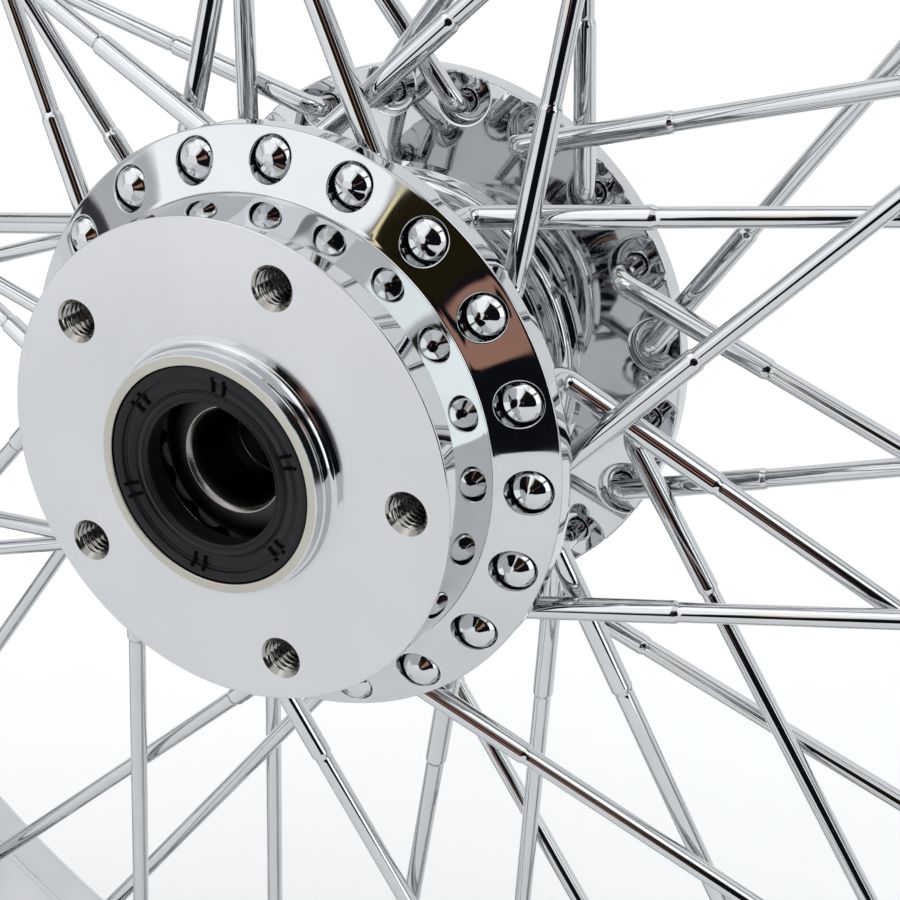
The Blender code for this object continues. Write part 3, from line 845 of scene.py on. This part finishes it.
def make_bearing(side, word):
    cup = Shell()
    cup_top = CUP_BACK + CUP_WIDTH
    cup.turn(rounded([(CUP_R, CUP_BACK, 1.0), (CUP_R, cup_top, 0.6), (CUP_RACE_OUT + 0.3, cup_top, 0.3),
                      (CUP_RACE_IN, CUP_BACK, 0.4)], closed=True), 120, 0, side, closed=True)
    outer_ring = cup.piece(f"outer_ring_{word}", [MATERIALS["race"]])
    show(outer_ring, "wheel", "bearing_steel", f"bearing_cup_{word}")

    cone = Shell()
    rib = ROLLER_TO + 0.3
    chamfer_r, chamfer_foot_r = 11.3, 10.3
    # The back face and the bore take the near-black painted shade finish; the races and the chamfer stay
    # ground steel.
    face = rounded([(chamfer_r, CONE_BACK, 0), (CONE_RIB_R, CONE_BACK, 0.8), (CONE_RIB_R, rib, 0.3),
                    (CONE_RACE_OUT, rib, 0)])
    cone.turn(face, 160, 0, side, finish=1)
    ground = rounded([(CONE_RACE_OUT, rib, 0), (CONE_RACE_IN, CONE_FRONT + 1.4, 0.2),
                      (CONE_RACE_IN + 0.35, CONE_FRONT + 1.1, 0.2), (CONE_RACE_IN + 0.2, CONE_FRONT, 0.3),
                      (CONE_BORE_R, CONE_FRONT, 0.8), (CONE_BORE_R, CONE_FRONT + 4, 0)])
    cone.turn(ground, 160, 0, side)
    bore = rounded([(CONE_BORE_R, CONE_FRONT + 4, 0), (CONE_BORE_R, CONE_BACK - 2.8, 1.0),
                    (chamfer_foot_r, CONE_BACK - 0.75, 0)])
    cone.turn(bore, 160, 0, side, finish=1)
    chamfer = rounded([(chamfer_foot_r, CONE_BACK - 0.75, 0), (chamfer_r - 0.2, CONE_BACK - 0.06, 0.12),
                       (chamfer_r, CONE_BACK, 0)])
    cone.turn(chamfer, 160, 0, side)
    show(cone.piece(f"inner_ring_{word}", [MATERIALS["race"], MATERIALS["bearing_painted_shade"]]), "axle_core",
         "bearing_steel", f"bearing_cone_{word}")

    # The rollers' dark steel is painted shade for the inside of the bearing.
    rollers = Shell()
    clearance = 0.08
    ends = []
    for y in (ROLLER_FROM, ROLLER_TO):
        outer = race_radius(y, CUP_BACK, cup_top, CUP_RACE_IN, CUP_RACE_OUT) - clearance
        inner = race_radius(y, CONE_FRONT, rib, CONE_RACE_IN, CONE_RACE_OUT) + clearance
        ends.append(((outer + inner) / 2, y, (outer - inner) / 2))
    for i in range(ROLLERS):
        angle = 360 * i / ROLLERS
        low, high = (polar(r, angle, side * y) for r, y, _ in ends)
        axis = (high - low).normalized()
        length = (high - low).length
        lean = abs(axis.y)
        stations = []
        for share, chamfer in ((0, 0.5), (0.02, 0.15), (0.05, 0), (0.95, 0), (0.98, 0.15), (1, 0.5)):
            radius = (ends[0][2] + (ends[1][2] - ends[0][2]) * share) * lean - chamfer
            stations.append((low + axis * (0.4 + (length - 0.8) * share), axis, radius))
        rings = loft(rollers, stations, 24, polar(1, angle, 0))
        rollers.cap(rings[0])
        rollers.cap(rings[-1])
    show(rollers.piece(f"taper_rollers_{word}", [MATERIALS["roller"]]), f"roller_set_{word}", "roller_steel",
         f"rollers_{word}")
    make_cage(side, word, ends)


def make_cage(side, word, ends):
    """Pressed cage: a ring at each end, and a bar between each two rollers."""
    shell = Shell()
    half, past_low, past_high, corner_r = 0.45, 1.3, 0.15, 0.1
    (low_r, low_y, _), (high_r, high_y, _) = ends
    low_y, high_y = low_y - past_low, high_y + past_high
    lean = (high_r - low_r) / (high_y - low_y)
    outward = Vector((1, -lean)).normalized() * half
    middle = [Vector((low_r - lean, low_y)), Vector((low_r, low_y + past_low)),
              Vector((high_r, high_y - 0.5)), Vector((high_r + lean, high_y))]
    for start, end in (middle[:2], middle[2:]):
        corners = (start - outward, end - outward, end + outward, start + outward)
        ring = rounded([(*corner, corner_r) for corner in corners], closed=True, steps=2)
        shell.turn(ring, 90, 0, side, closed=True)
    for i in range(ROLLERS):
        angle = 360 * (i + 0.5) / ROLLERS
        out = polar(1, angle, 0)
        across = Vector((-out.z, 0, out.x))
        rings = []
        for r, y in (middle[1], middle[2]):
            wide = 0.35
            rings.append(shell.ring([out * (r + s * half) + across * (w * wide) + Vector((0, side * y, 0))
                                     for s, w in ((-1, -1), (-1, 1), (1, 1.3), (1, -1.3))]))
        shell.bridge(rings)
        shell.cap(rings[0])
        shell.cap(rings[-1])
    show(shell.piece(f"roller_cage_{word}", [MATERIALS["cage"]]), f"roller_set_{word}", "roller_steel")


def make_sleeve():
    shell = Shell()
    half = CONE_FRONT - 0.3
    shell.turn(rounded([(SLEEVE_BORE_R, -half, 0.4), (SLEEVE_R, -half, 0.6), (SLEEVE_R, half, 0.6),
                        (SLEEVE_BORE_R, half, 0.4)], closed=True, steps=3), 120, closed=True)
    show(shell.piece("spacer_tube", [MATERIALS["sleeve"]]), "axle_core", "sleeve_steel", "spacer_sleeve")


# ---- Studio -----------------------------------------------------------------------------

# What the chrome reflects, each over the ones before: azimuth and elevation from and to, softness (all in
# degrees), and colour. Azimuth 0 is straight in front of the near side, and grows towards +X.
REFLECTED = [
    ((-57, -11.2, 8, 62, 0.9), (1.42, 1.44, 1.46)),       # bright panel on the left
    ((-57, -11.2, -40, 5, 3), (1.15, 1.16, 1.18)),        # the dimmer part below it
    ((44, 104, 42, 62, 2), (1.95, 2.08, 2.04)),           # panel high on the right
    ((68, 104, -6, 31, 1), (2.05, 2.18, 2.14)),           # panel on the right
    ((62, 84, 33, 38, 0.9), (0.035, 0.032, 0.02)),        # bar between those two
    ((-36, 6, 68, 74, 1), (0.05, 0.05, 0.055)),           # slot overhead
    ((66, 82, -12, -8, 0.8), (0.03, 0.03, 0.035)),        # edge under the right panel
    ((-69, -57, 1, 12, 2), (0.62, 0.63, 0.64)),           # grey panel, far left
    ((-72, -66, -3, 2, 0.8), (0.05, 0.05, 0.06)),         # dark edge under it
    ((-10.6, 67, -60, 17, 0.8), (0.006, 0.007, 0.010)),   # dark room
    ((-4, 56, 15, 37, 1.0), (0.010, 0.009, 0.010)),       # the room, higher up
    ((-10.6, 6, 8, 20, 1.0), (0.018, 0.014, 0.005)),      # olive wall of the room
    ((-9.8, -8.2, 11, 20, 0.6), (1.2, 1.05, 0.6)),        # lit edge of the room
    ((8, 14, 30, 35, 1.0), (0.07, 0.06, 0.02)),           # olive shade above
    ((5, 14.5, -3, 7, 0.9), (0.42, 0.22, 0.165)),         # something brown in the room
    ((17, 27, 20, 30, 0.9), (0.30, 0.15, 0.11)),          # its higher part
]


def make_floor():
    """Pale table top under the wheel, ending a little in front of it."""
    shell = Shell()
    front, back, wide = -760.0, 4000.0, 3200.0
    level = cad_box[0].z / MM
    edge = 6.0
    rings = []
    for inset, drop in ((0, -30.0), (0, -edge), (edge * 0.3, -edge * 0.3), (edge, 0)):
        rings.append(shell.ring([(x, y, level + drop) for x, y in (
            (-wide + inset, front + inset), (wide - inset, front + inset),
            (wide - inset, back - inset), (-wide + inset, back - inset))]))
    shell.bridge(rings)
    shell.cap(rings[0])
    shell.cap(rings[-1])
    floor = shell.piece("table_top", [paper("table_pale_board", (0.94, 0.94, 0.942))])


def make_world():
    """White studio with a dark room, and something brown in it, behind the camera."""
    world = bpy.data.worlds.new("studio")
    world.use_nodes = True
    bpy.context.scene.world = world
    tree = world.node_tree
    tree.nodes.clear()

    def node(kind, **settings):
        made = tree.nodes.new(kind)
        for key, value in settings.items():
            setattr(made, key, value)
        return made

    def put(target, value):
        if isinstance(value, (int, float)):
            target.default_value = value
        else:
            tree.links.new(value, target)

    def calc(operation, a, b=0.0):
        made = node("ShaderNodeMath", operation=operation)
        put(made.inputs[0], a)
        put(made.inputs[1], b)
        return made.outputs[0]

    def step(value, low, high):
        made = node("ShaderNodeMapRange", interpolation_type="SMOOTHSTEP")
        put(made.inputs["Value"], value)
        made.inputs["From Min"].default_value = low
        made.inputs["From Max"].default_value = high
        return made.outputs["Result"]

    def blend(share, under, over):
        made = node("ShaderNodeMix", data_type="RGBA")
        put(made.inputs["Factor"], share)
        for key, colour in (("A", under), ("B", over)):
            if isinstance(colour, tuple):
                made.inputs[key].default_value = (*colour, 1)
            else:
                tree.links.new(colour, made.inputs[key])
        return made.outputs["Result"]

    split = node("ShaderNodeSeparateXYZ")
    tree.links.new(node("ShaderNodeTexCoord").outputs["Generated"], split.inputs[0])
    x, y, z = split.outputs
    degree = math.pi / 180
    elevation = calc("DIVIDE", calc("ARCSINE", z), degree)
    azimuth = calc("DIVIDE", calc("ARCTAN2", x, calc("MULTIPLY", y, -1.0)), degree)

    def window(az_from, az_to, el_from, el_to, soft):
        """Share of a patch of sky between two azimuths and two elevations, with soft edges."""
        left = step(azimuth, az_from - soft, az_from + soft)
        right = step(azimuth, az_to + soft, az_to - soft)
        low = step(elevation, el_from - soft, el_from + soft)
        high = step(elevation, el_to + soft, el_to - soft)
        return calc("MULTIPLY", calc("MULTIPLY", left, right), calc("MULTIPLY", low, high))

    sky = blend(step(elevation, 20, 70), (0.95, 0.96, 0.975), (1.12, 1.13, 1.14))
    for patch, colour in REFLECTED:
        sky = blend(window(*patch), sky, colour)
    seen = blend(node("ShaderNodeLightPath").outputs["Is Camera Ray"], sky, (1.0, 1.0, 1.0))
    background = node("ShaderNodeBackground")
    tree.links.new(seen, background.inputs["Color"])
    out = node("ShaderNodeOutputWorld")
    tree.links.new(background.outputs[0], out.inputs["Surface"])


def make_light():
    """One large soft light overhead, aimed at the hub."""
    light = bpy.data.lights.new("overhead", "AREA")
    light.shape = "RECTANGLE"
    light.size = 1.6
    light.size_y = 1.2
    light.energy = 2.5
    lamp = bpy.data.objects.new("overhead", light)
    bpy.context.scene.collection.objects.link(lamp)
    lamp.location = (-0.5, -0.3, 1.7)
    lamp.rotation_euler = (-lamp.location).to_track_quat("-Z", "Y").to_euler()


def make_camera():
    camera = bpy.data.cameras.new("photo_view")
    camera.sensor_width = 36
    camera.lens = CAMERA_LENS
    camera.clip_start = 0.01
    camera.clip_end = 50
    holder = bpy.data.objects.new("photo_view", camera)
    bpy.context.scene.collection.objects.link(holder)
    holder.location = CAMERA_AT
    holder.rotation_euler = (math.radians(90 - CAMERA_ELEVATION), 0, math.radians(CAMERA_AZIMUTH))
    bpy.context.scene.camera = holder


make_hub()
make_spokes()
make_rim()
for bearing_side, bearing_word in SIDES:
    make_seal(bearing_side, bearing_word)
    make_bearing(bearing_side, bearing_word)
make_sleeve()
make_floor()
make_world()
make_light()
make_camera()
bpy.context.scene.view_settings.view_transform = "Standard"
